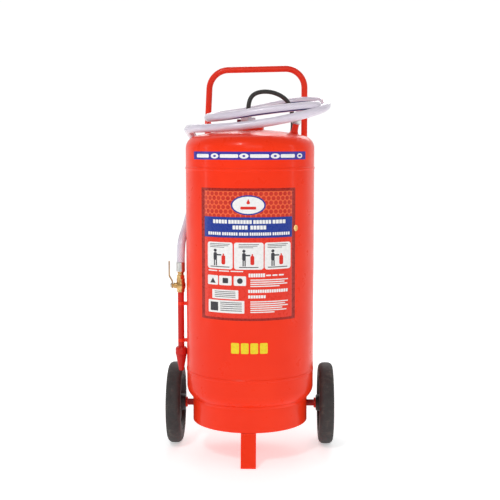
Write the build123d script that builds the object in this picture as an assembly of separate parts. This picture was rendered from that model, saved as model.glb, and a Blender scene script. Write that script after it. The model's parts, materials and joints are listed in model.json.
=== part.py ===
"""Wheeled dry-powder fire extinguisher: a welded tank on a skirt, foot, axle and two wheels, with a
U handle, a gas bottle behind the tank and a coiled discharge hose that ends in a lance.

Millimetres, +Z up, +X to the right, +Y to the rear. Everything is drawn about the tank's axis and
then moved back to front by TANK_Y, so that the origin lies on the ground under the middle of the
object's footprint.
"""

import os
from math import cos, radians, sin, sqrt, tan

from build123d import *

os.makedirs("parts", exist_ok=True)

# --- driving dimensions ---------------------------------------------------------------------
TANK_R = 190.0          # outer radius of the tank
WALL = 3.0              # tank and skirt plate
TOP_SEAM_Z = 855.0      # where the top head meets the shell
BOTTOM_SEAM_Z = 253.0   # where the bottom head meets the shell
TOP_KNUCKLE_Z = 912.0   # top head: end of the straight side
BOTTOM_KNUCKLE_Z = 204.0
HEAD_RISE = 55.5        # height of the dish above the straight side
KNUCKLE_R = 38.0
SKIRT_R = 172.0
SKIRT_BOTTOM_Z = 98.0
SKIRT_TOP_Z = 169.5
AXLE_Y = 75.0
AXLE_Z = 125.0          # also the wheels' radius
AXLE_R = 10.0
AXLE_HALF = 254.0
WHEEL_X = 232.0         # middle of each tyre
WHEEL_R = 125.0
TYRE_W = 44.0
RIM_R = 86.0
HANDLE_X = 14.5         # the handle is welded on a little to the right of the tank's axis
POST_SPAN = 149.5       # from the handle's middle to each leg
POST_Y = 156.0
TUBE_R = 9.5
HANDLE_TOP_Z = 1156.0   # centreline of the top bar, at its right end
FOOT_W = 44.0
FOOT_T = 6.0
HOSE_R = 12.0
GAS_HOSE_R = 6.5
LANCE_X = -208.0
LANCE_Y = 0.0
PIPE_R = 9.6
BOTTLE_X = 70.0
BOTTLE_Y = 240.0
BOTTLE_R = 51.0
STRAP_T = 2.5
LABEL_T = 0.3
SEAT = 0.05             # gap left where one curved face is seated on another

LEFT_POST_X = HANDLE_X - POST_SPAN
RIGHT_POST_X = HANDLE_X + POST_SPAN
FRONT_Y = -194.0        # front edge of the foot
REAR_Y = BOTTLE_Y + BOTTLE_R + STRAP_T + 0.1
TANK_Y = -(FRONT_Y + REAR_Y) / 2


# --- helpers --------------------------------------------------------------------------------
def save(node, shape):
    """Write one sub-part, moved from the tank's axis to the object's frame."""
    export_step(shape.moved(Location((0, TANK_Y, 0))), f"parts/{node}.step")


def turned(points, x=0.0, y=0.0):
    """A solid of revolution about the vertical through (x, y), from (radius, z) points."""
    face = make_face(Polyline(*[(r, 0, z) for r, z in points], close=True))
    return revolve(face, Axis.Z).moved(Location((x, y, 0)))


def rod(radius, start, end):
    """A round bar between two points."""
    a, b = Vector(*start), Vector(*end)
    plane = Plane(origin=a, z_dir=b - a)
    return extrude(plane * Circle(radius), (b - a).length)


def pipe(outer, inner, start, end):
    return rod(outer, start, end) - rod(inner, start, end)


def box(lo, hi):
    size = [b - a for a, b in zip(lo, hi)]
    mid = [(a + b) / 2 for a, b in zip(lo, hi)]
    return Pos(*mid) * Box(*size)


def hexagon(across_flats, start, height, turn=0.0):
    """An upright hexagonal prism; turn 0 puts two flats square to X."""
    outline = Plane(origin=start) * Rot(0, 0, 30 + turn) * RegularPolygon(across_flats / sqrt(3), 6)
    return extrude(outline, height)


def corner_radii(points, share=0.45):
    """Each corner's arc radius: share of its shorter run over the tangent of half its turn."""
    v = [Vector(*p) for p in points]
    radii = []
    for a, b, c in zip(v, v[1:], v[2:]):
        turn = (b - a).get_angle(c - b)
        radii.append(share * min((b - a).length, (c - b).length) / tan(radians(turn / 2)))
    return radii


def tube_path(points, share=0.45):
    return FilletPolyline(*points, radius=corner_radii(points, share))


def swept(path, radius):
    start = Plane(origin=path @ 0, z_dir=path % 0)
    return sweep(start * Circle(radius), path=path)


def one(shape):
    """The single solid of a result."""
    return shape.solids()[0]


# --- tank -----------------------------------------------------------------------------------
CROWN_R = ((TANK_R - KNUCKLE_R) ** 2 + HEAD_RISE**2 - KNUCKLE_R**2) / (2 * (HEAD_RISE - KNUCKLE_R))


def head_profile(inset):
    """Half outline (radius, height over the straight side) of the dish, set in by a wall."""
    crown, knuckle = CROWN_R - inset, KNUCKLE_R - inset
    centre_r, centre_z = TANK_R - KNUCKLE_R, HEAD_RISE - CROWN_R
    reach = CROWN_R - KNUCKLE_R
    joint = (centre_r * crown / reach, centre_z - centre_z * crown / reach)
    half = CROWN_R / (2 * reach) * centre_r / CROWN_R
    crown_mid = (crown * half, centre_z + crown * sqrt(1 - half**2))
    lean = radians(45)
    knuckle_mid = (centre_r + knuckle * cos(lean), knuckle * sin(lean))
    return (0, centre_z + crown), crown_mid, joint, knuckle_mid, (TANK_R - inset, 0)


def head_solid(inset, skirt_h):
    """A filled dish with its straight side, opening downward from z = 0."""
    top, crown_mid, joint, knuckle_mid, side = [(r, 0, z) for r, z in head_profile(inset)]
    edges = [
        ThreePointArc(top, crown_mid, joint),
        ThreePointArc(joint, knuckle_mid, side),
        Line(side, (side[0], 0, -skirt_h)),
        Line((side[0], 0, -skirt_h), (0, 0, -skirt_h)),
        Line((0, 0, -skirt_h), top),
    ]
    return revolve(make_face(edges), Axis.Z)


def head(skirt_h):
    return head_solid(0, skirt_h) - head_solid(WALL, skirt_h)


TOP_SIDE = TOP_KNUCKLE_Z - TOP_SEAM_Z
BOTTOM_SIDE = BOTTOM_SEAM_Z - BOTTOM_KNUCKLE_Z
top_blank = head_solid(0, TOP_SIDE).moved(Location((0, 0, TOP_KNUCKLE_Z)))
bottom_blank = Pos(0, 0, BOTTOM_KNUCKLE_Z) * Rot(180, 0, 0) * head_solid(0, BOTTOM_SIDE)

# neck, cap, gas inlet and relief valve
NECK_R = 41.0
NECK_BORE = 30.0
NECK_TOP_Z = 974.0
CAP_TOP_Z = 983.0
HEX_TOP_Z = 1002.0
HEX_X = -5.0
RELIEF_X = -32.5

# outlet stub: leans to the right
STUB_BASE = (126.5, 12.0, 940.0)
STUB_LEAN = 12.0
stub_dir = Vector(sin(radians(STUB_LEAN)), 0, cos(radians(STUB_LEAN)))
stub_axis = Plane(origin=STUB_BASE, z_dir=stub_dir)


def along_stub(distance):
    return tuple(Vector(*STUB_BASE) + stub_dir * distance)


STUB_SEAT = 44.0        # from the stub's base to where the hose starts
BARB = 20.0             # length of stub inside the hose
STUB_R = 8.8
STUB_BORE = 6.3


def tank():
    save("tank_shell", turned([(TANK_R - WALL, BOTTOM_SEAM_Z), (TANK_R, BOTTOM_SEAM_Z),
                               (TANK_R, TOP_SEAM_Z), (TANK_R - WALL, TOP_SEAM_Z)]))
    top = Pos(0, 0, TOP_KNUCKLE_Z) * head(TOP_SIDE)
    top -= rod(NECK_BORE, (0, 0, 900), (0, 0, 1000))
    top -= rod(STUB_R, along_stub(-20), along_stub(60))
    save("top_head", one(top))
    save("bottom_head", Pos(0, 0, BOTTOM_KNUCKLE_Z) * Rot(180, 0, 0) * head(BOTTOM_SIDE))
    for node, z in (("top_seam_weld", TOP_SEAM_Z), ("bottom_seam_weld", BOTTOM_SEAM_Z)):
        save(node, turned([(TANK_R, z - 4.5), (TANK_R + 1.2, z - 2.5), (TANK_R + 1.2, z + 2.5),
                           (TANK_R, z + 4.5)]))


def skirt_and_foot():
    axle_hole = rod(AXLE_R, (-200, AXLE_Y, AXLE_Z), (200, AXLE_Y, AXLE_Z))
    ring = turned([(SKIRT_R - WALL, SKIRT_BOTTOM_Z), (SKIRT_R, SKIRT_BOTTOM_Z),
                   (SKIRT_R, SKIRT_TOP_Z), (SKIRT_R - WALL, SKIRT_TOP_Z)])
    save("base_skirt", ring - axle_hole)
    bead = turned([(SKIRT_R, SKIRT_TOP_Z - 4), (SKIRT_R + 4.5, SKIRT_TOP_Z + 5), (SKIRT_R, SKIRT_TOP_Z + 7),
                   (SKIRT_R - WALL, SKIRT_TOP_Z + 3), (SKIRT_R - WALL, SKIRT_TOP_Z), (SKIRT_R, SKIRT_TOP_Z)])
    save("skirt_weld", one(bead - bottom_blank))
    weld_z = SKIRT_BOTTOM_Z + 42
    inner_y = -(SKIRT_R - WALL)
    side = make_face(Polyline((0, inner_y - 2, weld_z), (0, inner_y - 2, SKIRT_BOTTOM_Z - 4), (0, FRONT_Y, 6),
                              (0, FRONT_Y, 0), (0, FRONT_Y + 26, 0), (0, FRONT_Y + 26, FOOT_T),
                              (0, FRONT_Y + FOOT_T + 1, FOOT_T), (0, inner_y + FOOT_T, SKIRT_BOTTOM_Z - 4),
                              (0, inner_y + FOOT_T, weld_z), close=True))
    blank = turned([(0, SKIRT_BOTTOM_Z - 1), (SKIRT_R - WALL - SEAT, SKIRT_BOTTOM_Z - 1),
                    (SKIRT_R - WALL - SEAT, 200), (0, 200)])
    above = box((-FOOT_W, -250, SKIRT_BOTTOM_Z - 1), (FOOT_W, 0, 200))
    foot = extrude(side, FOOT_W / 2, dir=(1, 0, 0), both=True)
    foot = (foot - above) + (foot & blank)
    save("front_foot", one(foot))


# --- handle, axle and wheels ----------------------------------------------------------------
def handle():
    """A hand-bent U: the left leg leans in near the top and the bar rises a little to the right."""
    rise = 6.0
    path = FilletPolyline((LEFT_POST_X, POST_Y, 112), (LEFT_POST_X, POST_Y, 985),
                          (LEFT_POST_X + 8, POST_Y, HANDLE_TOP_Z - rise),
                          (RIGHT_POST_X, POST_Y, HANDLE_TOP_Z), (RIGHT_POST_X, POST_Y, 112),
                          radius=[150, 60, 58])
    outer = swept(path, TUBE_R)
    inner = swept(path, TUBE_R - 2)
    save("handle_frame", one(outer - inner))
    tank_fill = rod(TANK_R, (0, 0, 200), (0, 0, 900))
    lugs = []
    for x in (LEFT_POST_X, RIGHT_POST_X):
        leg = rod(TUBE_R + SEAT, (x, POST_Y, 100), (x, POST_Y, 900))
        for z in (318, 800):
            lugs.append(one(box((x - 4, 85, z - 20), (x + 4, POST_Y - 4, z + 20)) - tank_fill - leg))
    save("handle_lugs", Compound(children=lugs))
    skirt = rod(SKIRT_R, (0, 0, 50), (0, 0, 300))
    axle_bar = rod(AXLE_R, (-300, AXLE_Y, AXLE_Z), (300, AXLE_Y, AXLE_Z))
    plates = []
    for x in (LEFT_POST_X, RIGHT_POST_X):
        plate = box((x - 3, 60, SKIRT_BOTTOM_Z + 8), (x + 3, POST_Y - 4, SKIRT_TOP_Z - 4))
        leg = rod(TUBE_R + SEAT, (x, POST_Y, 50), (x, POST_Y, 300))
        plates.append(one(plate - skirt - leg - axle_bar))
    save("axle_plates", Compound(children=plates))


def axle():
    bar = rod(AXLE_R, (-AXLE_HALF, AXLE_Y, AXLE_Z), (AXLE_HALF, AXLE_Y, AXLE_Z))
    pins, collars, washers = [], [], []
    pin_x = AXLE_HALF - 4
    for side in (-1, 1):
        x = side * pin_x
        pin = rod(1.6, (x, AXLE_Y, AXLE_Z - 14), (x, AXLE_Y, AXLE_Z + 12))
        bar -= rod(1.6 + SEAT, (x, AXLE_Y, AXLE_Z - 15), (x, AXLE_Y, AXLE_Z + 15))
        eye = Pos(x, AXLE_Y, AXLE_Z + 14) * Rot(0, 90, 0) * Torus(3.2, 1.6)
        pins.append(one(pin + eye))
        inner, outer = side * 196.0, side * 201.5
        collars.append(pipe(16, AXLE_R, (inner, AXLE_Y, AXLE_Z), (outer, AXLE_Y, AXLE_Z)))
        start, end = side * 246.5, side * 248.3
        washers.append(pipe(17, AXLE_R, (start, AXLE_Y, AXLE_Z), (end, AXLE_Y, AXLE_Z)))
    save("axle", one(bar))
    save("split_pins", Compound(children=pins))
    save("axle_collars", Compound(children=collars))
    save("wheel_washers", Compound(children=washers))


def wheel_turned(points):
    """Revolve (radius, offset along the axle) points about the X axis."""
    return revolve(make_face(Polyline(*[(x, r, 0) for r, x in points], close=True)), Axis.X)


def wheel(side):
    half = TYRE_W / 2
    shoulder = 11.0
    edges = [
        Line((-half, RIM_R, 0), (-half, WHEEL_R - shoulder - 7, 0)),
        ThreePointArc((-half, WHEEL_R - shoulder - 7, 0), (-half + 3.6, WHEEL_R - 5.5, 0),
                      (-half + 12, WHEEL_R - 0.6, 0)),
        ThreePointArc((-half + 12, WHEEL_R - 0.6, 0), (0, WHEEL_R, 0), (half - 12, WHEEL_R - 0.6, 0)),
        ThreePointArc((half - 12, WHEEL_R - 0.6, 0), (half - 3.6, WHEEL_R - 5.5, 0),
                      (half, WHEEL_R - shoulder - 7, 0)),
        Line((half, WHEEL_R - shoulder - 7, 0), (half, RIM_R, 0)),
        Line((half, RIM_R, 0), (-half, RIM_R, 0)),
    ]
    tyre = revolve(make_face(edges), Axis.X)
    rim_half, web_half, hub_r, bush_r = half - 3, 4.0, 24.0, 14.0
    hub_in, hub_out = -29.5, 14.0
    rim = wheel_turned([(bush_r, hub_in), (hub_r, hub_in), (hub_r + 3, -web_half), (RIM_R - 9, -web_half),
                        (RIM_R - 6, -rim_half), (RIM_R, -rim_half), (RIM_R, rim_half), (RIM_R - 6, rim_half),
                        (RIM_R - 9, web_half), (hub_r + 3, web_half), (hub_r, hub_out), (bush_r, hub_out)])
    for k in range(6):
        rib = box((-13, hub_r + 0.5, -3), (13, RIM_R - 7, 3))
        rim += Rot(60 * k, 0, 0) * rib
    bush = wheel_turned([(AXLE_R + 0.06, hub_in), (bush_r, hub_in),
                         (bush_r, hub_out), (AXLE_R + 0.06, hub_out)])
    place = Pos(side * WHEEL_X, AXLE_Y, AXLE_Z) * Rot(0, 0, 0 if side > 0 else 180)
    name = "right" if side > 0 else "left"
    save(f"{name}_tyre", place * one(tyre))
    save(f"{name}_rim", place * one(rim))
    save(f"{name}_bush", place * one(bush))


# --- top fittings ---------------------------------------------------------------------------
def neck_and_cap():
    neck = turned([(NECK_BORE, 945), (NECK_R, 945), (NECK_R, NECK_TOP_Z), (NECK_BORE, NECK_TOP_Z)])
    plug = Pos(0, 0, TOP_KNUCKLE_Z) * head_solid(0, TOP_SIDE)
    inner = rod(NECK_BORE, (0, 0, 900), (0, 0, 1000))
    save("filler_neck", one(neck - (plug - inner)))
    save("cap_gasket", turned([(NECK_BORE - 6, NECK_TOP_Z), (NECK_R - 3, NECK_TOP_Z),
                               (NECK_R - 3, NECK_TOP_Z + 2), (NECK_BORE - 6, NECK_TOP_Z + 2)]))
    cap = turned([(0, NECK_TOP_Z + 2), (NECK_R - 1, NECK_TOP_Z + 2), (NECK_R - 1, CAP_TOP_Z - 1),
                  (NECK_R - 2, CAP_TOP_Z), (0, CAP_TOP_Z)])
    cap += turned([(0, NECK_TOP_Z - 14), (NECK_BORE - 6, NECK_TOP_Z - 14), (NECK_BORE - 6, NECK_TOP_Z + 2),
                   (0, NECK_TOP_Z + 2)])
    cap += hexagon(42, (HEX_X, 0, CAP_TOP_Z), HEX_TOP_Z - CAP_TOP_Z)
    cap -= rod(5.0, (HEX_X, 0, 900), (HEX_X, 0, 1010))
    cap -= rod(4.0, (RELIEF_X + 14, 0, 900), (RELIEF_X + 14, 0, NECK_TOP_Z))
    cap -= rod(2.0, (RELIEF_X + 10, 0, 978.5), (RELIEF_X, 0, 978.5))
    cap -= rod(2.0, (RELIEF_X, 0, 978.5), (RELIEF_X, 0, 990))
    save("filler_cap", one(cap))
    body = turned([(2.2, CAP_TOP_Z), (5.2, CAP_TOP_Z), (5.2, 986.5), (2.2, 986.5)], RELIEF_X)
    save("relief_valve_body", body)
    knob = turned([(0, 987.0), (5.8, 987.0), (6.0, 988), (6.0, 996), (5.0, 997.2), (0, 997.2)], RELIEF_X)
    knob += rod(1.8, (RELIEF_X, 0, 980), (RELIEF_X, 0, 988))
    save("relief_valve_cap", one(knob))
    save("gas_inlet_tube", pipe(5.0, 3.5, (HEX_X, 0, 240), (HEX_X, 0, HEX_TOP_Z)))


def outlet():
    stub = rod(STUB_R, along_stub(-6), along_stub(STUB_SEAT + BARB))
    flare = stub_axis * revolve(make_face(Polyline(
        (0, 0, 5), (15.5, 0, 5), (15.5, 0, 15), (11.5, 0, 20), (9.6, 0, 27), (9.2, 0, STUB_SEAT),
        (0, 0, STUB_SEAT), close=True)), Axis.Z)
    top = top_blank - rod(STUB_R, along_stub(-20), along_stub(60))
    stub = (stub + flare) - top - rod(STUB_BORE, along_stub(-30), along_stub(80))
    save("outlet_stub", one(stub))
    start = along_stub(-6)
    foot = (start[0], start[1], 186)
    save("siphon_tube", pipe(8.0, STUB_BORE, foot, (start[0], start[1], start[2] - 4)))


def clamp(node, start, direction, bolt_turn):
    """A worm-drive hose clamp round the hose, 9 mm wide."""
    plane = Plane(origin=start, z_dir=direction)
    band = plane * (Cylinder(HOSE_R + 1.0, 9, align=(Align.CENTER, Align.CENTER, Align.MIN))
                    - Cylinder(HOSE_R + 0.05, 9, align=(Align.CENTER, Align.CENTER, Align.MIN)))
    house = plane * Rot(0, 0, bolt_turn) * Pos(HOSE_R + 3.4, 0, 4.5) * Box(5, 13, 8)
    screw = plane * Rot(0, 0, bolt_turn) * Pos(HOSE_R + 3.4, 9, 4.5) * Rot(90, 0, 0) * Cylinder(2.8, 6)
    core = plane * Cylinder(HOSE_R + 0.05, 9, align=(Align.CENTER, Align.CENTER, Align.MIN))
    save(node, one(band + (house + screw - core)))


# --- hoses ----------------------------------------------------------------------------------
HOSE_START = along_stub(STUB_SEAT)
HOSE_END_Z = 548.0
HOSE_ROUTE = [
    HOSE_START, (140.6, 12, 1006), (153, 8, 1025), (174, -4, 1036), (195, -26, 1038), (199, -56, 1037),
    (184, -83, 1035), (152, -97, 1032), (92, -98, 1026), (18, -92, 1017), (-56, -80, 1006),
    (-108, -42, 1001), (-130, 25, 1003), (-110, 92, 1010), (-52, 129, 1019), (15, 131, 1030),
    (82, 128, 1045), (146, 125, 1056), (208, 82, 1055), (231, 8, 1042), (212, -70, 1025),
    (150, -114, 1006), (76, -116, 990), (2, -112, 979), (-68, -106, 972), (-138, -78, 970),
    (-180, -22, 970), (-187, 45, 966), (-176, 100, 947), (-165, 128, 903), (-163, 129, 848),
    (-168, 121, 797), (-177, 104, 752), (-187, 80, 712), (-197, 48, 672), (-206, 14, 638),
    (LANCE_X, LANCE_Y, 592), (LANCE_X, LANCE_Y, HOSE_END_Z),
]
VALVE_PORT = Vector(BOTTLE_X, BOTTLE_Y, 896.0)
PORT_DIR = Vector(0.6, -0.55, 0.55).normalized()
PORT_REACH = 48.0       # from the bottle valve's middle to the end of the gas hose
GAS_ROUTE = [
    (HEX_X, 0, 1022), (HEX_X, 0, 1050), (14, 10, 1076), (58, 30, 1081), (99, 58, 1066), (121, 86, 1040),
    (127, 114, 1008), (129, 152, 976), tuple(VALVE_PORT + PORT_DIR * (PORT_REACH + 42)),
    tuple(VALVE_PORT + PORT_DIR * PORT_REACH),
]


def discharge_hose():
    path = tube_path(HOSE_ROUTE)
    tube = swept(path, HOSE_R)
    print("hose radii", [round(r) for r in corner_radii(HOSE_ROUTE)])
    section = 3.141593 * HOSE_R**2
    print("hose length", round(path.length), "volume ratio", round(tube.volume / (section * path.length), 4))
    tube -= rod(STUB_R, along_stub(0), along_stub(STUB_SEAT + BARB))
    tube -= rod(8.8, (LANCE_X, LANCE_Y, 500), (LANCE_X, LANCE_Y, 572))
    save("discharge_hose", one(tube))


def gas_hose():
    """The black high-pressure hose between the gas bottle's valve and the cap, with its end fittings."""
    route = GAS_ROUTE
    path = tube_path(route)
    tube = swept(path, GAS_HOSE_R)
    print("gas hose radii", [round(r) for r in corner_radii(route)], "length", round(path.length))
    save("gas_hose", one(tube))
    a = Vector(*route[0])
    nut = hexagon(19, (HEX_X, 0, HEX_TOP_Z), 9) + rod(8.2, (HEX_X, 0, HEX_TOP_Z + 9), tuple(a))
    save("gas_hose_cap_nut", one(nut))
    b, c = Vector(*route[-1]), Vector(*route[-2])
    back = (b - c).normalized()
    ferrule = rod(8.2, tuple(b), tuple(b + back * 10))
    hex_plane = Plane(origin=b + back * 10, z_dir=back)
    ferrule += hex_plane * extrude(RegularPolygon(11, 6), 9)
    save("gas_hose_bottle_nut", one(ferrule))


# --- gas bottle -----------------------------------------------------------------------------
BOTTLE_BASE_Z = 395.0
BOTTLE_SIDE_Z = 815.0
BOTTLE_NECK_Z = 872.0


def gas_bottle():
    r = BOTTLE_R
    z0, z1, z2 = BOTTLE_BASE_Z, BOTTLE_SIDE_Z, BOTTLE_NECK_Z
    edges = [
        Line((0, 0, z0 + 10), (22, 0, z0 + 10)),
        ThreePointArc((22, 0, z0 + 10), (34, 0, z0 + 7), (40, 0, z0)),
        ThreePointArc((40, 0, z0), (r - 2.5, 0, z0 + 5), (r, 0, z0 + 14)), Line((r, 0, z0 + 14), (r, 0, z1)),
        ThreePointArc((r, 0, z1), (r - 9, 0, z1 + 26), (18, 0, z2 - 14)), Line((18, 0, z2 - 14), (15, 0, z2)),
        Line((15, 0, z2), (0, 0, z2)), Line((0, 0, z2), (0, 0, z0 + 10)),
    ]
    bottle = revolve(make_face(edges), Axis.Z)
    hollow = turned([(0, z0 + 18), (r - 5, z0 + 24), (r - 5, z1), (r - 12, z1 + 22), (12, z2 - 22),
                     (9, z2 - 14), (9, z2), (0, z2)])
    place = Location((BOTTLE_X, BOTTLE_Y, 0))
    save("gas_bottle", one(bottle - hollow).moved(place))
    body = turned([(0, z2 - 14), (9, z2 - 14), (9, z2), (15, z2), (15, z2 + 6), (12, z2 + 10), (12, z2 + 36),
                   (8, z2 + 40), (8, z2 + 50), (0, z2 + 50)])
    body = body.moved(place)
    body += rod(7.0, tuple(VALVE_PORT), tuple(VALVE_PORT + PORT_DIR * (PORT_REACH - 19)))
    body += hexagon(13, (0, 0, 0), 8).moved(Location((BOTTLE_X - 11, BOTTLE_Y, z2 + 20), (0, -90, 0)))
    body -= rod(3.06, (BOTTLE_X, BOTTLE_Y, z2 + 20), (BOTTLE_X, BOTTLE_Y, z2 + 60))
    save("bottle_valve", one(body))
    save("bottle_spindle", rod(3.0, (0, 0, z2 + 24), (0, 0, z2 + 75)).moved(place))
    wheel_z = z2 + 65
    ring = Pos(0, 0, wheel_z) * Torus(22, 4)
    hub = turned([(3.0, wheel_z - 6), (8, wheel_z - 6), (8, wheel_z + 5), (3.0, wheel_z + 5)])
    knob = ring + hub
    for k in range(4):
        knob += Rot(0, 0, 45 + 90 * k) * box((7, -3.5, wheel_z - 3), (21, 3.5, wheel_z + 3))
    knob -= rod(3.0, (0, 0, z2), (0, 0, z2 + 80))
    save("bottle_handwheel", one(knob).moved(place))
    nut = hexagon(10, (0, 0, wheel_z + 5), 4) - rod(3.0, (0, 0, z2), (0, 0, z2 + 80))
    save("handwheel_nut", one(nut).moved(place))


def bottle_brackets():
    """Two welded saddles on the back of the tank, a base shelf, and a strap and bolts at each saddle."""
    tank_disc = Circle(TANK_R)
    bottle_disc = Pos(BOTTLE_X, BOTTLE_Y) * Circle(BOTTLE_R + SEAT)
    face_y = BOTTLE_Y - 16
    ear = BOTTLE_R + 12
    left, right = BOTTLE_X - ear - 7, BOTTLE_X + ear + 7

    def rectangle(x0, x1, y0, y1):
        return Pos((x0 + x1) / 2, (y0 + y1) / 2) * Rectangle(x1 - x0, y1 - y0)

    saddle = rectangle(left, right, 140, face_y) - tank_disc - bottle_disc
    saddle -= rectangle(right - 30, right + 1, 130, face_y - 26)
    strap = Pos(BOTTLE_X, BOTTLE_Y) * Circle(BOTTLE_R + STRAP_T) - rectangle(left, right, 150, face_y)
    strap += rectangle(left, right, face_y, face_y + STRAP_T)
    strap -= bottle_disc
    saddles, straps, bolts = [], [], []
    for z in (470, 740):
        block = extrude(Pos(0, 0, z - 13) * saddle, 26)
        hoop = extrude(Pos(0, 0, z - 12) * strap, 24)
        for x in (BOTTLE_X - ear, BOTTLE_X + ear):
            seat_y = face_y + STRAP_T
            shank = rod(3, (x, seat_y - 20, z), (x, seat_y, z))
            block -= shank
            hoop -= shank
            head = Plane(origin=(x, seat_y, z), z_dir=(0, 1, 0)) * extrude(RegularPolygon(5.8, 6), 4)
            bolts.append(one(shank + head))
        saddles.append(one(block))
        straps.append(one(hoop))
    save("bottle_saddles", Compound(children=saddles))
    save("bottle_straps", Compound(children=straps))
    save("strap_bolts", Compound(children=bolts))
    tank_fill = rod(TANK_R, (0, 0, 100), (0, 0, 1000))
    shelf = box((BOTTLE_X - 34, 150, BOTTLE_BASE_Z - 6), (BOTTLE_X + 34, BOTTLE_Y + 42, BOTTLE_BASE_Z))
    web = box((BOTTLE_X - 3, 150, BOTTLE_BASE_Z - 56), (BOTTLE_X + 3, BOTTLE_Y - 6, BOTTLE_BASE_Z - 6))
    save("bottle_shelf", one(shelf + web - tank_fill))


# --- lance ----------------------------------------------------------------------------------
VALVE_Z = 502.0


def lance():
    x, y = LANCE_X, LANCE_Y
    save("hose_ferrule", turned([(HOSE_R + SEAT, 546), (HOSE_R + 0.8, 545),
                                 (HOSE_R + 0.8, 572), (HOSE_R + SEAT, 573)], x, y))
    tail = turned([(5, 534), (8.8, 534), (8.8, 572), (5, 572)], x, y)
    tail += turned([(5, 534), (HOSE_R + 0.7, 545), (HOSE_R, 546),
                    (HOSE_R, HOSE_END_Z), (8.8, HOSE_END_Z), (5, 560)], x, y)
    tail += hexagon(22, (x, y, 523), 11) - rod(5, (x, y, 500), (x, y, 600))
    save("hose_tail", one(tail - rod(5, (x, y, 500), (x, y, 600))))
    body = turned([(7, 483), (11.5, 483), (11.5, 490), (12.5, 492), (14.0, 496), (14.5, VALVE_Z), (14.0, 508),
                   (12.5, 512), (12.5, 523), (7, 523)], x, y)
    body += rod(8.5, (x, y, VALVE_Z), (x - 17, y, VALVE_Z))
    body -= rod(7, (x, y, 470), (x, y, 530))
    body -= Pos(x, y, VALVE_Z) * Sphere(10.6)
    body -= rod(10.6, (x, y, VALVE_Z - 3), (x, y, VALVE_Z + 3))
    body -= rod(4.06, (x, y, VALVE_Z), (x - 30, y, VALVE_Z))
    save("valve_body", one(body))
    ball = Pos(x, y, VALVE_Z) * Sphere(10.2) - rod(6, (x, y, 480), (x, y, 530))
    ball -= rod(4.0, (x - 7, y, VALVE_Z), (x - 20, y, VALVE_Z))
    save("valve_ball", one(ball))
    stem = rod(4.0, (x - 7.05, y, VALVE_Z), (x - 30, y, VALVE_Z))
    save("valve_stem", stem)
    seats = [pipe(9.5, 6, (x, y, VALVE_Z + side * 8.6), (x, y, VALVE_Z + side * 13))
             - Pos(x, y, VALVE_Z) * Sphere(10.25)
             for side in (-1, 1)]
    save("valve_seats", Compound(children=[one(seat - body) for seat in seats]))
    packing = Pos(x - 19.5, y, VALVE_Z) * Rot(0, -90, 0) * extrude(RegularPolygon(8.5, 6), 5)
    packing = Pos(2.5, 0, 0) * packing - rod(4.06, (x, y, VALVE_Z), (x - 40, y, VALVE_Z))
    save("packing_nut", one(packing))
    lever_x = x - 24.0
    t = 3.0
    bend = 9.0
    path_z = [(lever_x - t, -7), (lever_x, -7), (lever_x, 14), (lever_x - bend, 30), (lever_x - bend, 74),
              (lever_x - bend - t, 74), (lever_x - bend - t, 29), (lever_x - t, 13)]
    flat = make_face(Polyline(*[(px, 0, VALVE_Z + pz) for px, pz in path_z], close=True))
    lever = extrude(flat, 6.5, dir=(0, 1, 0), both=True).moved(Location((0, y, 0)))
    lever += rod(9.0, (lever_x, y, VALVE_Z), (lever_x - t, y, VALVE_Z))
    lever -= rod(4.0, (x, y, VALVE_Z), (x - 40, y, VALVE_Z))
    save("valve_lever", one(lever))
    nut = Pos(lever_x - t, y, VALVE_Z) * Rot(0, -90, 0) * extrude(RegularPolygon(6.5, 6), 4)
    save("lever_nut", one(nut - rod(4.0, (x, y, VALVE_Z), (x - 40, y, VALVE_Z))))
    save("lance_pipe", pipe(PIPE_R, 7, (x, y, 300), (x, y, 483)))
    collar = turned([(PIPE_R, 289), (15, 289), (17.6, 293), (17.6, 309), (15, 315), (PIPE_R, 315)], x, y)
    collar += turned([(7, 289), (PIPE_R, 289), (PIPE_R, 300), (7, 300)], x, y)
    save("nozzle_collar", one(collar))
    cone = turned([(12.4, 289), (15.8, 289), (7.4, 243), (4.4, 243)], x, y)
    save("nozzle_cone", cone)
    clips = []
    for z in (336, 448):
        ring = pipe(PIPE_R + 1.9, PIPE_R, (x, y, z - 5), (x, y, z + 5))
        ring -= box((x - 20, y - 7.5, z - 10), (x - 2, y + 7.5, z + 10))
        arm = box((x + PIPE_R + 0.4, y - 5, z - 5), (-TANK_R + 2, y + 5, z + 5))
        clips.append(one(ring + arm - rod(TANK_R, (0, 0, z - 20), (0, 0, z + 20))))
    save("lance_clips", Compound(children=clips))


# --- hooks and labels -----------------------------------------------------------------------
def hose_hooks():
    """Round-bar hooks welded to the front of each post, under the hose's back run."""
    r = 4.0
    for name, post, x, z in (("left", LEFT_POST_X, LEFT_POST_X + 4, 990.0),
                             ("right", RIGHT_POST_X, RIGHT_POST_X - 8, 1022.0)):
        path = FilletPolyline((post, POST_Y - 2, z), (x, 109, z), (x, 105, z + 17), radius=[5])
        tube = rod(TUBE_R + 6 * SEAT, (post, POST_Y, 900), (post, POST_Y, 1100))
        save(f"{name}_hose_hook", one(swept(path, r) - tube))


def labels():
    def wrap(z0, z1, start, end):
        ring = turned([(TANK_R, z0), (TANK_R + LABEL_T, z0), (TANK_R + LABEL_T, z1), (TANK_R, z1)])
        middle = radians((start + end) / 2 - 90)
        spread = radians((end - start) / 2)
        reach = 400
        a = (reach * cos(middle - spread), reach * sin(middle - spread), z0)
        m = (reach * cos(middle), reach * sin(middle), z0)
        b = (reach * cos(middle + spread), reach * sin(middle + spread), z0)
        wedge = extrude(make_face(Polyline((0, 0, z0), a, m, b, close=True)), z1 - z0, dir=(0, 0, 1))
        return one(ring & wedge)

    save("shoulder_band", wrap(882, 904.5, -56, 58))
    save("main_label", wrap(429, 803, -47.5, 46))


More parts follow.
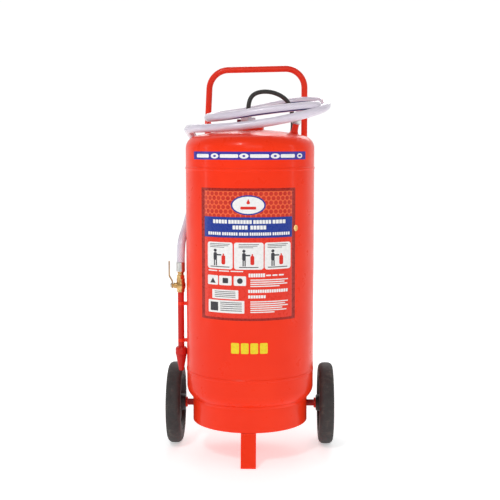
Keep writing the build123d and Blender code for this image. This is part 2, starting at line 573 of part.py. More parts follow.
def main():
    tank()
    skirt_and_foot()
    handle()
    axle()
    wheel(-1)
    wheel(1)
    neck_and_cap()
    outlet()
    clamp("hose_clamp", along_stub(STUB_SEAT + 2.5), stub_dir, 200)
    discharge_hose()
    gas_hose()
    gas_bottle()
    bottle_brackets()
    lance()
    hose_hooks()
    labels()


main()
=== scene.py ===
"""Looks for the wheeled dry-powder fire extinguisher: materials, hoses, printed labels, light, camera.

Metres, +Z up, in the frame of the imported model. Sizes marked mm are turned to metres where used.
"""

import json
import math

import bmesh
import bpy
from mathutils import Matrix, Vector


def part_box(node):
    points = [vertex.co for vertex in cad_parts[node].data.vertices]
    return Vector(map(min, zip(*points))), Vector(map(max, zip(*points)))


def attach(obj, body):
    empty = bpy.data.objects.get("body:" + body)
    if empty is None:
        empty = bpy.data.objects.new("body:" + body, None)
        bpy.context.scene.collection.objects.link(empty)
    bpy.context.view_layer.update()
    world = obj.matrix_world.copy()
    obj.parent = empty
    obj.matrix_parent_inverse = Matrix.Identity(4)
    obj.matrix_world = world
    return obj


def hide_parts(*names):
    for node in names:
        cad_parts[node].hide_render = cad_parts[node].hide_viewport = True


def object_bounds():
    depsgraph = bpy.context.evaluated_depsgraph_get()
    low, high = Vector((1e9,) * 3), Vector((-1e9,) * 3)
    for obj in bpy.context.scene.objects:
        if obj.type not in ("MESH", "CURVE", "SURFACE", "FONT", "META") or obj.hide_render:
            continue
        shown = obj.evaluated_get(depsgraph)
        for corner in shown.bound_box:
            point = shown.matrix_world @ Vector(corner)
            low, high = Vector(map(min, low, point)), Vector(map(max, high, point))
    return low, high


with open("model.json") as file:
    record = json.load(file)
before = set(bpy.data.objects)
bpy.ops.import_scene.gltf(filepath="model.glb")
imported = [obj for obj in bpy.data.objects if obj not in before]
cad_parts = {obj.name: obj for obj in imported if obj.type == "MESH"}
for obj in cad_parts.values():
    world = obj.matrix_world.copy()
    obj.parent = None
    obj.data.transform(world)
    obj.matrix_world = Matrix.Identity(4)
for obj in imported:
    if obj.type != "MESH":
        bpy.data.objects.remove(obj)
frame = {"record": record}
CAD_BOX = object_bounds()
MM = 0.001

# --- places, from the frame -------------------------------------------------------------------
shell_lo, shell_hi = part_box("tank_shell")
TANK_X = (shell_lo[0] + shell_hi[0]) / 2
TANK_Y = (shell_lo[1] + shell_hi[1]) / 2
TANK_R = 0.190
GROUND_Z = CAD_BOX[0][2]

# --- camera -----------------------------------------------------------------------------------
CAMERA_DISTANCE = 2.983     # from the tank's axis
CAMERA_HEIGHT = 0.937
CAMERA_PITCH = 6.26         # degrees below level
CAMERA_AZIMUTH = 1.5        # degrees towards +X
LENS = 72.26


def add_camera():
    data = bpy.data.cameras.new("camera")
    data.lens = LENS
    data.sensor_width = 36.0
    data.clip_end = 50.0
    cam = bpy.data.objects.new("camera", data)
    bpy.context.collection.objects.link(cam)
    turn = math.radians(CAMERA_AZIMUTH)
    cam.location = (TANK_X + CAMERA_DISTANCE * math.sin(turn),
                    TANK_Y - CAMERA_DISTANCE * math.cos(turn),
                    CAMERA_HEIGHT)
    cam.rotation_euler = (math.radians(90 - CAMERA_PITCH), 0, turn)
    bpy.context.scene.camera = cam


add_camera()


# --- material helpers -------------------------------------------------------------------------
def new_material(name):
    mat = bpy.data.materials.new(name)
    mat.use_nodes = True
    nodes, links = mat.node_tree.nodes, mat.node_tree.links
    nodes.clear()
    out = nodes.new("ShaderNodeOutputMaterial")
    shader = nodes.new("ShaderNodeBsdfPrincipled")
    links.new(shader.outputs["BSDF"], out.inputs["Surface"])
    return mat, nodes, links, shader


def noise(nodes, links, coord, scale, detail=4.0, rough=0.55, distortion=0.0):
    node = nodes.new("ShaderNodeTexNoise")
    node.inputs["Scale"].default_value = scale
    node.inputs["Detail"].default_value = detail
    node.inputs["Roughness"].default_value = rough
    node.inputs["Distortion"].default_value = distortion
    links.new(coord, node.inputs["Vector"])
    return node.outputs["Fac"]


def ramp(nodes, links, value, stops):
    node = nodes.new("ShaderNodeValToRGB")
    el = node.color_ramp.elements
    while len(el) < len(stops):
        el.new(0.5)
    for e, (pos, colour) in zip(el, stops):
        e.position = pos
        e.color = (*colour, 1.0)
    links.new(value, node.inputs["Fac"])
    return node.outputs["Color"]


def remap(nodes, links, value, lo, hi, out_lo, out_hi):
    node = nodes.new("ShaderNodeMapRange")
    node.inputs["From Min"].default_value = lo
    node.inputs["From Max"].default_value = hi
    node.inputs["To Min"].default_value = out_lo
    node.inputs["To Max"].default_value = out_hi
    links.new(value, node.inputs["Value"])
    return node.outputs["Result"]


def math_node(nodes, links, operation, a, b=0.0):
    node = nodes.new("ShaderNodeMath")
    node.operation = operation
    for socket, value in zip(node.inputs, (a, b)):
        if hasattr(value, "node"):
            links.new(value, socket)
        else:
            socket.default_value = value
    return node.outputs[0]


def mix_colour(nodes, links, fac, a, b):
    node = nodes.new("ShaderNodeMix")
    node.data_type = "RGBA"
    for socket, value in ((node.inputs[0], fac), (node.inputs[6], a), (node.inputs[7], b)):
        if hasattr(value, "node"):
            links.new(value, socket)
        elif isinstance(value, (tuple, list)):
            socket.default_value = (*value, 1.0)
        else:
            socket.default_value = value
    return node.outputs[2]


def bump(nodes, links, shader, height, strength, distance, under=None):
    node = nodes.new("ShaderNodeBump")
    node.inputs["Strength"].default_value = strength
    node.inputs["Distance"].default_value = distance
    links.new(height, node.inputs["Height"])
    if under is not None:
        links.new(under, node.inputs["Normal"])
    links.new(node.outputs["Normal"], shader.inputs["Normal"])
    return node.outputs["Normal"]


def object_coord(nodes):
    return nodes.new("ShaderNodeTexCoord").outputs["Object"]


def uv_coord(nodes):
    return nodes.new("ShaderNodeTexCoord").outputs["UV"]


# --- materials --------------------------------------------------------------------------------
def enamel(name, base, deep, rough=0.30, coat=0.12, wave=0.4):
    """Sprayed gloss enamel: faint tone drift, orange peel, and the plate's slight waviness."""
    mat, nodes, links, shader = new_material(name)
    at = object_coord(nodes)
    tone = noise(nodes, links, at, 3.5, 3.0)
    links.new(ramp(nodes, links, tone, [(0.32, deep), (0.66, base)]), shader.inputs["Base Color"])
    grime = noise(nodes, links, at, 24.0, 6.0, 0.65)
    links.new(remap(nodes, links, grime, 0.3, 0.75, rough - 0.05, rough + 0.12), shader.inputs["Roughness"])
    shader.inputs["Coat Weight"].default_value = coat
    shader.inputs["Coat Roughness"].default_value = 0.10
    shader.inputs["Specular IOR Level"].default_value = 0.13
    plate = noise(nodes, links, at, 5.0, 1.5)
    first = bump(nodes, links, shader, plate, wave, 0.004)
    peel = noise(nodes, links, at, 420.0, 2.0)
    bump(nodes, links, shader, peel, 0.06, 0.0006, first)
    return mat


def tyre_rubber():
    mat, nodes, links, shader = new_material("tyre_rubber_mat")
    at = object_coord(nodes)
    dust = noise(nodes, links, at, 16.0, 7.0, 0.7)
    streak = noise(nodes, links, at, 60.0, 4.0, 0.6, 1.0)
    both = math_node(nodes, links, "MULTIPLY", dust, math_node(nodes, links, "ADD", streak, 0.45))
    colour = ramp(nodes, links, both, [(0.30, (0.018, 0.016, 0.016)), (0.52, (0.036, 0.032, 0.031)),
                                       (0.80, (0.105, 0.088, 0.076))])
    links.new(colour, shader.inputs["Base Color"])
    links.new(remap(nodes, links, dust, 0.3, 0.7, 0.62, 0.85), shader.inputs["Roughness"])
    grain = noise(nodes, links, at, 900.0, 3.0)
    first = bump(nodes, links, shader, grain, 0.25, 0.0004)
    bump(nodes, links, shader, streak, 0.18, 0.0012, first)
    return mat


def moulded_plastic(name, dark, light, rough, grain=700.0):
    mat, nodes, links, shader = new_material(name)
    at = object_coord(nodes)
    tone = noise(nodes, links, at, 20.0, 5.0, 0.6)
    links.new(ramp(nodes, links, tone, [(0.3, dark), (0.75, light)]), shader.inputs["Base Color"])
    links.new(remap(nodes, links, tone, 0.3, 0.7, rough - 0.06, rough + 0.08), shader.inputs["Roughness"])
    bump(nodes, links, shader, noise(nodes, links, at, grain, 2.0), 0.12, 0.0003)
    return mat


def metal(name, base, deep, rough, brushed=0.15, tarnish=30.0):
    mat, nodes, links, shader = new_material(name)
    at = object_coord(nodes)
    stain = noise(nodes, links, at, tarnish, 6.0, 0.65)
    links.new(ramp(nodes, links, stain, [(0.34, deep), (0.6, base)]), shader.inputs["Base Color"])
    shader.inputs["Metallic"].default_value = 1.0
    links.new(remap(nodes, links, stain, 0.3, 0.7, rough + 0.12, rough - 0.04), shader.inputs["Roughness"])
    lines = nodes.new("ShaderNodeMapping")
    lines.inputs["Scale"].default_value = (60.0, 60.0, 1400.0)
    links.new(at, lines.inputs["Vector"])
    bump(nodes, links, shader, noise(nodes, links, lines.outputs["Vector"], 1.0, 2.0), brushed, 0.0002)
    return mat


def clear_hose():
    """Milky clear vinyl over white braid, with one blue line; UV runs along and round the hose."""
    mat, nodes, links, shader = new_material("clear_hose_mat")
    split = nodes.new("ShaderNodeSeparateXYZ")
    links.new(uv_coord(nodes), split.inputs[0])
    along, around = split.outputs[0], split.outputs[1]
    threads = []
    for way in (1.0, -1.0):
        lead = math_node(nodes, links, "MULTIPLY", along, 2.6)
        turn = math_node(nodes, links, "MULTIPLY", around, 12.0 * way)
        phase = math_node(nodes, links, "FRACT", math_node(nodes, links, "ADD", lead, turn))
        off = math_node(nodes, links, "ABSOLUTE", math_node(nodes, links, "SUBTRACT", phase, 0.5))
        threads.append(remap(nodes, links, off, 0.10, 0.22, 1.0, 0.0))
    braid = math_node(nodes, links, "MAXIMUM", threads[0], threads[1])
    cloud = noise(nodes, links, object_coord(nodes), 14.0, 4.0, 0.6)
    wall = ramp(nodes, links, cloud, [(0.3, (0.57, 0.50, 0.62)), (0.7, (0.70, 0.63, 0.74))])
    thread = math_node(nodes, links, "MULTIPLY", braid, 0.55)
    body = mix_colour(nodes, links, thread, wall, (0.86, 0.84, 0.88))
    off_line = math_node(nodes, links, "ABSOLUTE", math_node(nodes, links, "SUBTRACT", around, 0.5))
    line = remap(nodes, links, off_line, 0.030, 0.040, 1.0, 0.0)
    colour = mix_colour(nodes, links, line, body, (0.012, 0.016, 0.16))
    links.new(colour, shader.inputs["Base Color"])
    links.new(remap(nodes, links, cloud, 0.3, 0.7, 0.22, 0.36), shader.inputs["Roughness"])
    shader.inputs["Coat Weight"].default_value = 0.35
    shader.inputs["Coat Roughness"].default_value = 0.12
    shader.inputs["Subsurface Weight"].default_value = 0.35
    shader.inputs["Subsurface Radius"].default_value = (0.012, 0.011, 0.013)
    shader.inputs["Subsurface Scale"].default_value = 0.4
    bump(nodes, links, shader, braid, 0.22, 0.0006)
    return mat


def gas_hose_rubber():
    """Black rubber with the spiral print of its cloth wrapping."""
    mat, nodes, links, shader = new_material("gas_hose_mat")
    split = nodes.new("ShaderNodeSeparateXYZ")
    links.new(uv_coord(nodes), split.inputs[0])
    lead = math_node(nodes, links, "MULTIPLY", split.outputs[0], 3.4)
    phase = math_node(nodes, links, "FRACT", math_node(nodes, links, "ADD", lead, split.outputs[1]))
    off = math_node(nodes, links, "ABSOLUTE", math_node(nodes, links, "SUBTRACT", phase, 0.5))
    groove = remap(nodes, links, off, 0.30, 0.46, 1.0, 0.0)
    dust = noise(nodes, links, object_coord(nodes), 45.0, 5.0, 0.6)
    worn = ramp(nodes, links, dust, [(0.3, (0.020, 0.020, 0.018)), (0.75, (0.050, 0.048, 0.043))])
    links.new(mix_colour(nodes, links, groove, (0.012, 0.012, 0.011), worn), shader.inputs["Base Color"])
    links.new(remap(nodes, links, dust, 0.3, 0.7, 0.45, 0.62), shader.inputs["Roughness"])
    bump(nodes, links, shader, groove, 0.5, 0.0007)
    return mat


def printed(name, ink, spread=0.06, rough=0.28):
    """Gloss-laminated print: an even ink with faint press mottle and a rippled film on top."""
    mat, nodes, links, shader = new_material(name)
    at = object_coord(nodes)
    mottle = noise(nodes, links, at, 130.0, 4.0, 0.7)
    low = tuple(c * (1 - spread) for c in ink)
    high = tuple(min(1.0, c * (1 + spread)) for c in ink)
    links.new(ramp(nodes, links, mottle, [(0.3, low), (0.7, high)]), shader.inputs["Base Color"])
    links.new(remap(nodes, links, mottle, 0.3, 0.7, rough - 0.04, rough + 0.05), shader.inputs["Roughness"])
    shader.inputs["Coat Weight"].default_value = 0.08
    shader.inputs["Specular IOR Level"].default_value = 0.2
    bump(nodes, links, shader, noise(nodes, links, at, 28.0, 2.0), 0.12, 0.0006)
    return mat


def honeycomb_print():
    """The label's top panel: brick red with a honeycomb of lighter lines."""
    mat, nodes, links, shader = new_material("honeycomb_mat")
    split = nodes.new("ShaderNodeSeparateXYZ")
    links.new(uv_coord(nodes), split.inputs[0])
    cell = 0.0125
    u = math_node(nodes, links, "DIVIDE", split.outputs[0], cell)
    v = math_node(nodes, links, "DIVIDE", split.outputs[1], cell)
    waves = []
    for angle in (90.0, 30.0, 150.0):
        c, s = math.cos(math.radians(angle)), math.sin(math.radians(angle))
        a = math_node(nodes, links, "MULTIPLY", u, c * math.tau)
        b = math_node(nodes, links, "MULTIPLY", v, s * math.tau)
        waves.append(math_node(nodes, links, "COSINE", math_node(nodes, links, "ADD", a, b)))
    total = math_node(nodes, links, "ADD", math_node(nodes, links, "ADD", waves[0], waves[1]), waves[2])
    line = remap(nodes, links, total, -1.15, -0.35, 1.0, 0.0)
    mottle = noise(nodes, links, object_coord(nodes), 40.0, 4.0, 0.6)
    ground = ramp(nodes, links, mottle, [(0.3, (0.54, 0.026, 0.016)), (0.7, (0.64, 0.044, 0.022))])
    links.new(mix_colour(nodes, links, line, ground, (0.86, 0.13, 0.045)), shader.inputs["Base Color"])
    shader.inputs["Coat Weight"].default_value = 0.08
    shader.inputs["Specular IOR Level"].default_value = 0.2
    links.new(remap(nodes, links, mottle, 0.3, 0.7, 0.26, 0.36), shader.inputs["Roughness"])
    bump(nodes, links, shader, noise(nodes, links, object_coord(nodes), 22.0, 2.0), 0.15, 0.0008)
    return mat


RED = enamel("red_enamel_mat", (0.96, 0.040, 0.007), (0.88, 0.030, 0.005))
RED_TUBE = enamel("red_tube_mat", (0.86, 0.040, 0.014), (0.72, 0.028, 0.012), rough=0.30, wave=0.15)
# Painted shade: a darker copy of the red enamel for the lance, nozzle and axle, standing in for the shade
# they sit in.
SHADED_RED = enamel("red_painted_shade_mat", (0.62, 0.020, 0.014), (0.44, 0.012, 0.012), rough=0.30, wave=0.15)
BLACK_ENAMEL = enamel("black_enamel_mat", (0.022, 0.022, 0.024), (0.012, 0.012, 0.013), wave=0.2)
TYRE = tyre_rubber()
BLACK_PLASTIC = moulded_plastic("black_plastic_mat", (0.016, 0.016, 0.016), (0.035, 0.034, 0.033), 0.5)
DARK_RED = moulded_plastic("dark_red_mat", (0.11, 0.002, 0.010), (0.20, 0.004, 0.016), 0.3)
WHITE_PLASTIC = moulded_plastic("white_plastic_mat", (0.70, 0.70, 0.67), (0.84, 0.84, 0.81), 0.35)
ZINC = metal("zinc_mat", (0.74, 0.74, 0.72), (0.52, 0.52, 0.50), 0.26)
CHROME = metal("chrome_mat", (0.86, 0.86, 0.86), (0.74, 0.74, 0.74), 0.12, 0.05)
BRASS = metal("brass_mat", (0.78, 0.52, 0.22), (0.46, 0.27, 0.10), 0.24)
GOLD = metal("gold_lever_mat", (0.52, 0.31, 0.11), (0.30, 0.17, 0.07), 0.32)
CLEAR = clear_hose()
GAS = gas_hose_rubber()

NODE_MATERIALS = {
    "red_enamel": RED, "tyre_rubber": TYRE, "black_plastic": BLACK_PLASTIC, "zinc_steel": ZINC,
    "cap_chrome": CHROME, "dark_red_plastic": DARK_RED, "brass": BRASS, "gold_lever": GOLD,
    "white_plastic": WHITE_PLASTIC, "bottle_black": BLACK_ENAMEL, "gas_hose_rubber": GAS, "clear_hose": CLEAR,
}
TUBES = ("handle_frame", "handle_lugs", "axle_plates", "left_hose_hook", "right_hose_hook", "bottle_saddles",
         "bottle_shelf", "lance_clips", "outlet_stub")
# Parts that get the darker red of painted shade instead of the plain red enamel.
LANCE = ("lance_pipe", "nozzle_collar", "nozzle_cone", "axle")

for part in frame["record"]["subparts"]:
    node, slot_name = part["node"], part["material_slot"]
    look = NODE_MATERIALS.get(slot_name)
    if node in TUBES:
        look = RED_TUBE
    # Painted shade: these parts take the darker copy of the red enamel.
    if node in LANCE:
        look = SHADED_RED
    piece = bpy.data.objects.get(node)
    if look is None or piece is None:
        continue
    piece.data.materials.clear()
    piece.data.materials.append(look)


# --- hoses ------------------------------------------------------------------------------------
HOSE_DIAMETER = 0.024
LINE_LOOKS = (              # (share of the hose's length, where its blue line faces)
    (0.24, Vector((0, -0.62, -0.78))),
    (0.44, Vector((0, -0.95, -0.3))),
)
GAS_DIAMETER = 0.013
STUB_BASE = (126.5, 12.0, 940.0)
STUB_LEAN = math.radians(12.0)
STUB_SEAT = 44.0
LANCE_X = -208.0
HOSE_START = (STUB_BASE[0] + STUB_SEAT * math.sin(STUB_LEAN),
              STUB_BASE[1],
              STUB_BASE[2] + STUB_SEAT * math.cos(STUB_LEAN))
HOSE_ROUTE = [
    HOSE_START, (140.6, 12, 1006), (153, 8, 1025), (174, -4, 1036), (195, -26, 1038), (199, -56, 1037),
    (184, -83, 1035), (152, -97, 1032), (92, -98, 1026), (18, -92, 1017), (-56, -80, 1006),
    (-108, -42, 1001), (-130, 25, 1003), (-110, 92, 1010), (-52, 129, 1019), (15, 131, 1030),
    (82, 128, 1045), (146, 125, 1056), (208, 82, 1055), (231, 8, 1042), (212, -70, 1025),
    (150, -114, 1006), (76, -116, 990), (2, -112, 979), (-68, -106, 972), (-138, -78, 970),
    (-180, -22, 970), (-187, 45, 966), (-176, 100, 947), (-165, 128, 903), (-163, 129, 848),
    (-168, 121, 797), (-177, 104, 752), (-187, 80, 712), (-197, 48, 672), (-206, 14, 638),
    (LANCE_X, 0, 592), (LANCE_X, 0, 548),
]
BOTTLE_X, BOTTLE_Y, PORT_Z = 70.0, 240.0, 896.0
PORT_DIR = Vector((0.6, -0.55, 0.55)).normalized()
PORT_REACH = 48.0
PORT = Vector((BOTTLE_X, BOTTLE_Y, PORT_Z))
GAS_ROUTE = [
    (-5, 0, 1022), (-5, 0, 1050), (14, 10, 1076), (58, 30, 1081), (99, 58, 1066), (121, 86, 1040),
    (127, 114, 1008), (129, 152, 976),
    tuple(PORT + PORT_DIR * (PORT_REACH + 42)), tuple(PORT + PORT_DIR * PORT_REACH),
]


def to_frame(point):
    """A point given in mm from the tank's axis, in the model's frame."""
    return Vector((TANK_X + point[0] * MM, TANK_Y + point[1] * MM, point[2] * MM))


def smooth_line(name, route):
    """Points along the one smooth curve that has the route as its control points."""
    data = bpy.data.curves.new(name, "CURVE")
    data.dimensions = "3D"
    data.resolution_u = 14
    spline = data.splines.new("NURBS")
    spline.points.add(len(route) - 1)
    for target, point in zip(spline.points, route):
        target.co = (*to_frame(point), 1.0)
    spline.order_u = 3
    spline.use_endpoint_u = True
    holder = bpy.data.objects.new(name, data)
    mesh = bpy.data.meshes.new_from_object(holder)
    points = [v.co.copy() for v in mesh.vertices]
    bpy.data.objects.remove(holder)
    bpy.data.curves.remove(data)
    bpy.data.meshes.remove(mesh)
    return points


def carried_frames(points, looks):
    """(tangent, side) at every point; side looks along the directions in looks and twists between them."""
    tangent = (points[1] - points[0]).normalized()
    side = tangent.orthogonal().normalized()
    frames = []
    for i in range(len(points)):
        new = (points[min(i + 1, len(points) - 1)] - points[max(i - 1, 0)]).normalized()
        side = (tangent.rotation_difference(new) @ side).normalized()
        tangent = new
        frames.append((tangent, side))
    marks = []
    for place, facing in looks:
        index = int(place * (len(points) - 1))
        t, s = frames[index]
        want = facing - t * facing.dot(t)
        marks.append((index, math.atan2(t.dot(s.cross(want)), s.dot(want))))
    (first, start), (last, end) = marks[0], marks[-1]
    swing = (end - start + math.pi) % math.tau - math.pi
    turned = []
    for i, (t, s) in enumerate(frames):
        share = min(1.0, max(0.0, (i - first) / max(1, last - first)))
        turned.append((t, Matrix.Rotation(start + swing * share, 3, t) @ s))
    return turned


def tube(name, points, radius, look, sides=40, looks=((0.5, Vector((0, 0, 1))),)):
    """A closed tube along points; UV is length over diameter and turn, with turn 0.5 on the frame's side."""
    verts, faces, uvs = [], [], []
    run = 0.0
    runs = []
    for i, (p, (tangent, side)) in enumerate(zip(points, carried_frames(points, looks))):
        other = tangent.cross(side)
        if i:
            run += (p - points[i - 1]).length
        runs.append(run)
        for k in range(sides):
            a = math.tau * (k / sides - 0.5)
            verts.append(p + (side * math.cos(a) + other * math.sin(a)) * radius)
    for i in range(len(points) - 1):
        for k in range(sides):
            n = (k + 1) % sides
            faces.append((i * sides + k, i * sides + n, (i + 1) * sides + n, (i + 1) * sides + k))
            u0, u1 = runs[i] / (2 * radius), runs[i + 1] / (2 * radius)
            v0, v1 = k / sides, (k + 1) / sides
            uvs += [(u0, v0), (u0, v1), (u1, v1), (u1, v0)]
    last = (len(points) - 1) * sides
    faces.append(tuple(reversed(range(sides))))
    faces.append(tuple(range(last, last + sides)))
    uvs += [(0.0, 0.0)] * sides + [(u1, 0.0)] * sides
    mesh = bpy.data.meshes.new(name)
    mesh.from_pydata(verts, [], faces)
    layer = mesh.uv_layers.new(name="UVMap")
    for loop, uv in zip(layer.data, uvs):
        loop.uv = uv
    mesh.polygons.foreach_set("use_smooth", [True] * len(mesh.polygons))
    mesh.materials.append(look)
    piece = bpy.data.objects.new(name, mesh)
    bpy.context.collection.objects.link(piece)
    return piece


hose_line = smooth_line("hose_line", HOSE_ROUTE)
hose = tube("hose_tube", hose_line, HOSE_DIAMETER / 2, CLEAR, looks=LINE_LOOKS)
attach(hose, "root")
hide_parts("discharge_hose")

gas_line = smooth_line("gas_line", GAS_ROUTE)
gas = tube("gas_hose_tube", gas_line, GAS_DIAMETER / 2, GAS, sides=28)
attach(gas, "root")
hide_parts("gas_hose")


# --- printed sheets on the tank ---------------------------------------------------------------
PAPER = printed("white_print_mat", (0.86, 0.86, 0.85))
BLUE = printed("blue_print_mat", (0.018, 0.045, 0.30))
BAND_BLUE = printed("band_blue_mat", (0.045, 0.040, 0.34))
PANEL_RED = printed("panel_red_mat", (0.80, 0.040, 0.020))
BORDER_RED = printed("border_red_mat", (0.34, 0.016, 0.010), 0.25)
INK_RED = printed("ink_red_mat", (0.70, 0.03, 0.02))
INK_DARK = printed("ink_dark_mat", (0.05, 0.05, 0.06))
INK_YELLOW = printed("ink_yellow_mat", (0.86, 0.66, 0.02))
GOLD_FOIL = metal("gold_foil_mat", (0.85, 0.55, 0.22), (0.6, 0.36, 0.12), 0.25)
HONEYCOMB = honeycomb_print()

SHEET_T = 0.12              # mm, one printed layer
LAYER_0 = 0.05              # mm, the lowest face over the paint


def rounded(x0, x1, z0, z1, r):
    """Columns (x, low z, high z) of a rectangle with rounded corners, in mm."""
    xs = [x0 + r * (1 - math.cos(math.pi / 2 * i / 5)) for i in range(6)]
    steps = max(2, int((x1 - x0 - 2 * r) / 4))
    xs += [x0 + r + (x1 - x0 - 2 * r) * i / steps for i in range(1, steps)]
    xs += [x1 - r * (1 - math.cos(math.pi / 2 * i / 5)) for i in range(5, -1, -1)]
    columns = []
    for x in xs:
        edge = min(x - x0, x1 - x)
        cut = r - math.sqrt(max(0.0, r * r - (r - edge) ** 2)) if edge < r else 0.0
        columns.append((x, z0 + cut, z1 - cut))
    return columns


def ellipse(cx, cz, a, b, steps=28):
    columns = []
    for i in range(steps + 1):
        t = -math.cos(math.pi * i / steps)
        h = b * math.sqrt(max(0.0, 1 - t * t))
        columns.append((cx + a * t, cz - h, cz + h))
    return columns


def triangle(cx, z0, half, height):
    return [(cx - half, z0, z0 + 0.05), (cx, z0, z0 + height), (cx + half, z0, z0 + 0.05)]


def sheet_mesh(bm, uv, columns, layer, thick=SHEET_T):
    """One closed thin sheet wrapped on the tank; column x is measured across the front, in mm."""
    low, high = TANK_R / MM + layer, TANK_R / MM + layer + thick
    rows = []
    for x, z0, z1 in columns:
        ring = []
        for r in (low, high):
            y = -math.sqrt(r * r - x * x)
            for z in (z0, z1):
                ring.append(bm.verts.new(to_frame((x, y, z))))
        rows.append(ring)
    made = []
    for a, b in zip(rows, rows[1:]):
        made += [bm.faces.new(f) for f in ((a[2], b[2], b[3], a[3]), (a[1], b[1], b[0], a[0]),
                                           (a[0], b[0], b[2], a[2]), (a[3], b[3], b[1], a[1]))]
    made += [bm.faces.new(f) for f in ((rows[0][0], rows[0][2], rows[0][3], rows[0][1]),
                                       (rows[-1][1], rows[-1][3], rows[-1][2], rows[-1][0]))]
    for face in made:
        for loop in face.loops:
            co = loop.vert.co
            arc = math.atan2(co.x - TANK_X, TANK_Y - co.y) * TANK_R
            loop[uv].uv = (arc, co.z)


def printed_piece(name, shapes, look, layer, thick=SHEET_T):
    bm = bmesh.new()
    uv = bm.loops.layers.uv.new("UVMap")
    for columns in shapes:
        sheet_mesh(bm, uv, columns, layer, thick)
    bmesh.ops.remove_doubles(bm, verts=bm.verts, dist=1e-7)
    mesh = bpy.data.meshes.new(name)
    bm.to_mesh(mesh)
    bm.free()
    mesh.materials.append(look)
    piece = bpy.data.objects.new(name, mesh)
    bpy.context.collection.objects.link(piece)
    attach(piece, "root")
    return piece


def blocks(x0, x1, z0, z1, wide, gap):
    """A row of plain letter-size blocks that stands for a word."""
    count = max(1, round((x1 - x0 + gap) / (wide + gap)))
    pitch = (x1 - x0 + gap) / count
    return [rounded(x0 + i * pitch, x0 + (i + 1) * pitch - gap, z0, z1, 0.8) for i in range(count)]


INNER_X = 4.0               # mm, how far the print sits right of the backing's middle


def inner_print(name, shapes, look, layer):
    moved = [[(x + INNER_X, z0, z1) for x, z0, z1 in columns] for columns in shapes]
    return printed_piece(name, moved, look, layer)


def main_label():
    backing = printed_piece("label_backing", [rounded(-134, 132, 429, 803, 2)], BORDER_RED, LAYER_0, 0.3)
    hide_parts("main_label")
    l1, l2, l3 = LAYER_0 + 0.3, LAYER_0 + 0.3 + SHEET_T, LAYER_0 + 0.3 + 2 * SHEET_T
    l4 = l3 + SHEET_T
    printed_piece("label_top_panel", [rounded(-125, 123, 722.5, 795, 2)], HONEYCOMB, l1)
    printed_piece("label_panel", [rounded(-125, 123, 436, 664, 2)], PANEL_RED, l1)
    printed_piece("label_blue_band", [rounded(-125, 123, 664.5, 722, 1)], BLUE, l1)
    inner_print("label_badge_rim", [ellipse(-4, 756, 49, 28)], BLUE, l2)
    inner_print("label_badge", [ellipse(-4, 756, 44.5, 24)], PAPER, l3)
    drop = [triangle(-4, 762, 5, 12), ellipse(-4, 762.5, 5, 4)]
    inner_print("label_badge_mark", drop + [rounded(-26, 18, 744, 752, 2)], INK_RED, l4)
    words = []
    title_rows = ((-104, 704, 100, 714.5, (40, 66, 50, 36), 7.0),
                  (-48, 688, 46, 699, (42, 44), 8.0),
                  (-118, 671, 112, 679.5, (36, 44, 26, 60, 48), 5.0))
    for x0, z0, x1, z1, widths, wide in title_rows:
        space = (x1 - x0 - sum(widths)) / (len(widths) - 1)
        x = x0
        for w in widths:
            words += blocks(x, x + w, z0, z1, wide, 1.4)
            x += w + space
    inner_print("label_title_blocks", words, PAPER, l2)
    boxes = [rounded(-120, -48, 575, 651, 7), rounded(-44, 39, 575, 651, 7), rounded(42, 115, 575, 651, 7)]
    inner_print("label_step_boxes", boxes, PAPER, l2)
    figures, tins, grounds, captions = [], [], [], []
    for cx in (-84, -2, 79):
        figures += [ellipse(cx - 14, 627, 4.4, 4.4), rounded(cx - 19, cx - 9, 600, 622, 4),
                    rounded(cx - 18, cx - 14.6, 584, 602, 1.4), rounded(cx - 12.4, cx - 9, 584, 602, 1.4),
                    rounded(cx - 10, cx + 4, 613, 617, 1.8)]
        tins += [rounded(cx + 4, cx + 15, 588, 614, 4), rounded(cx + 7.5, cx + 11.5, 614, 619, 1.2)]
        grounds += [rounded(cx - 28, cx + 27, 580, 582.4, 1)]
        captions += [rounded(cx - 29, cx + 28, 645, 646.6, 0.6), rounded(cx - 29, cx + 24, 640.5, 642.1, 0.6),
                     rounded(cx - 29, cx + 12, 636, 637.6, 0.6)]
    inner_print("label_figures", figures, INK_DARK, l3)
    inner_print("label_tins", tins, INK_RED, l3)
    inner_print("label_grounds", grounds + captions, INK_DARK, l3)
    class_boxes = [rounded(x0, x1, 529, 556, 3) for x0, x1 in ((-120, -90), (-87, -51), (-45, -10))]
    notes = blocks(-3, 43, 553.5, 564, 6.0, 1.2)
    notes += blocks(-4, 107, 509, 518, 5.5, 1.2)
    notes += blocks(-4, 45, 493.5, 502, 5.5, 1.2)
    notes += [rounded(-107, -32, 490, 516, 2), rounded(-118, -15, 450, 486, 2)]
    text_lines = ((108, 544), (98, 538), (106, 532), (84, 526), (108, 482), (100, 476), (108, 470),
                  (92, 464), (104, 458), (70, 452))
    notes += [rounded(2, x1, z, z + 3.0, 1.0) for x1, z in text_lines]
    inner_print("label_note_boxes", class_boxes + notes, PAPER, l2)
    marks = [triangle(-105, 534, 8, 15), rounded(-77, -61, 535, 550, 2), ellipse(-27.5, 542.5, 8, 8)]
    marks += [rounded(-100, -40, z, z + 1.8, 0.8) for z in (495, 500, 505, 510)]
    marks += [rounded(-112, -90, 455, 480, 1)]
    marks += [rounded(-84, -22, z, z + 2.0, 0.8) for z in (456, 462, 468, 474, 479)]
    inner_print("label_marks", marks, INK_DARK, l3)
    small = [rounded(x, x + w, 568, 571, 1) for x, w in ((-118, 26), (-88, 30), (-54, 36))]
    small += [rounded(46 + 18 * i, 60 + 18 * i, 556, 560, 1.2) for i in range(3)]
    inner_print("label_small_bars", small, PAPER, l2)
    printed_piece("gold_sticker", [ellipse(134, 688, 5.5, 9)], GOLD_FOIL, l1)


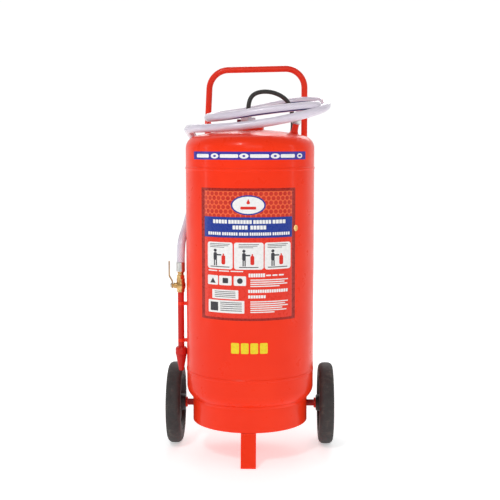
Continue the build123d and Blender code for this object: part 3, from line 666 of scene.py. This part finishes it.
def shoulder_band():
    band = printed_piece("band_sheet", [rounded(-157.5, 161, 882, 904.5, 1.5)], BAND_BLUE, LAYER_0, 0.3)
    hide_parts("shoulder_band")
    l1, l2 = LAYER_0 + 0.3, LAYER_0 + 0.3 + SHEET_T
    ovals = [ellipse(x, 892.5, a, 7) for x, a in ((-95, 11), (-12, 13), (75, 12.5), (144, 7.5))]
    printed_piece("band_ovals", ovals, PAPER, l1)
    printed_piece("band_oval_marks", [ellipse(x, 892.5, 4, 3) for x in (-95, -12, 75, 144)], BAND_BLUE, l2)
    bars = [rounded(x0, x1, 887.5, 897.5, 3) for x0, x1 in ((-148, -112), (-80, -28), (5, 58), (90, 130))]
    printed_piece("band_bars", bars, PAPER, l1)


def lower_marks():
    word = []
    for x0, x1 in ((-49, -26), (-21, 1), (6, 28), (33, 55)):
        word.append(rounded(x0, x1, 334, 365, 3.5))
    printed_piece("yellow_blocks", word, INK_YELLOW, LAYER_0)


main_label()
shoulder_band()
lower_marks()


# --- studio -----------------------------------------------------------------------------------
def area_light(name, place, aim, size, power, tint=(1, 1, 1)):
    data = bpy.data.lights.new(name, "AREA")
    data.shape = "RECTANGLE"
    data.size, data.size_y = size
    data.energy = power
    data.color = tint
    lamp = bpy.data.objects.new(name, data)
    bpy.context.collection.objects.link(lamp)
    lamp.location = place
    lamp.rotation_euler = (Vector(aim) - Vector(place)).to_track_quat("-Z", "Y").to_euler()


def studio():
    bpy.context.scene.view_settings.view_transform = "Standard"
    world = bpy.data.worlds.new("studio_world")
    world.use_nodes = True
    world.node_tree.nodes["Background"].inputs["Color"].default_value = (1, 1, 1, 1)
    world.node_tree.nodes["Background"].inputs["Strength"].default_value = 0.36
    bpy.context.scene.world = world
    bpy.ops.mesh.primitive_plane_add(size=30, location=(0, 0, GROUND_Z - 0.0005))
    floor = bpy.context.object
    floor.name = "studio_floor"
    mat, _, _, shader = new_material("floor_mat")
    shader.inputs["Base Color"].default_value = (0.93, 0.93, 0.93, 1)
    shader.inputs["Roughness"].default_value = 0.9
    shader.inputs["Emission Color"].default_value = (1, 1, 1, 1)
    shader.inputs["Emission Strength"].default_value = 0.45
    floor.data.materials.append(mat)
    bpy.ops.mesh.primitive_plane_add(size=30, location=(0, 9, 0), rotation=(math.pi / 2, 0, 0))
    wall = bpy.context.object
    wall.name = "studio_wall"
    mat, _, _, shader = new_material("wall_mat")
    shader.inputs["Base Color"].default_value = (0, 0, 0, 1)
    shader.inputs["Emission Color"].default_value = (1, 1, 1, 1)
    shader.inputs["Emission Strength"].default_value = 1.0
    wall.data.materials.append(mat)
    area_light("key", (-0.9, -2.4, 3.1), (0, 0, 0.9), (0.35, 0.7), 30)
    area_light("left_strip", (-2.6, -0.5, 0.9), (0, 0, 0.7), (0.22, 2.4), 7)
    area_light("right_strip", (2.6, -0.5, 0.9), (0, 0, 0.7), (0.22, 2.4), 5)
    area_light("front", (0.5, -4.2, 2.4), (0, 0, 0.6), (2.2, 1.6), 24)
    area_light("rear", (0.4, 3.0, 2.6), (0, 0, 0.6), (2.5, 1.5), 36)


studio()
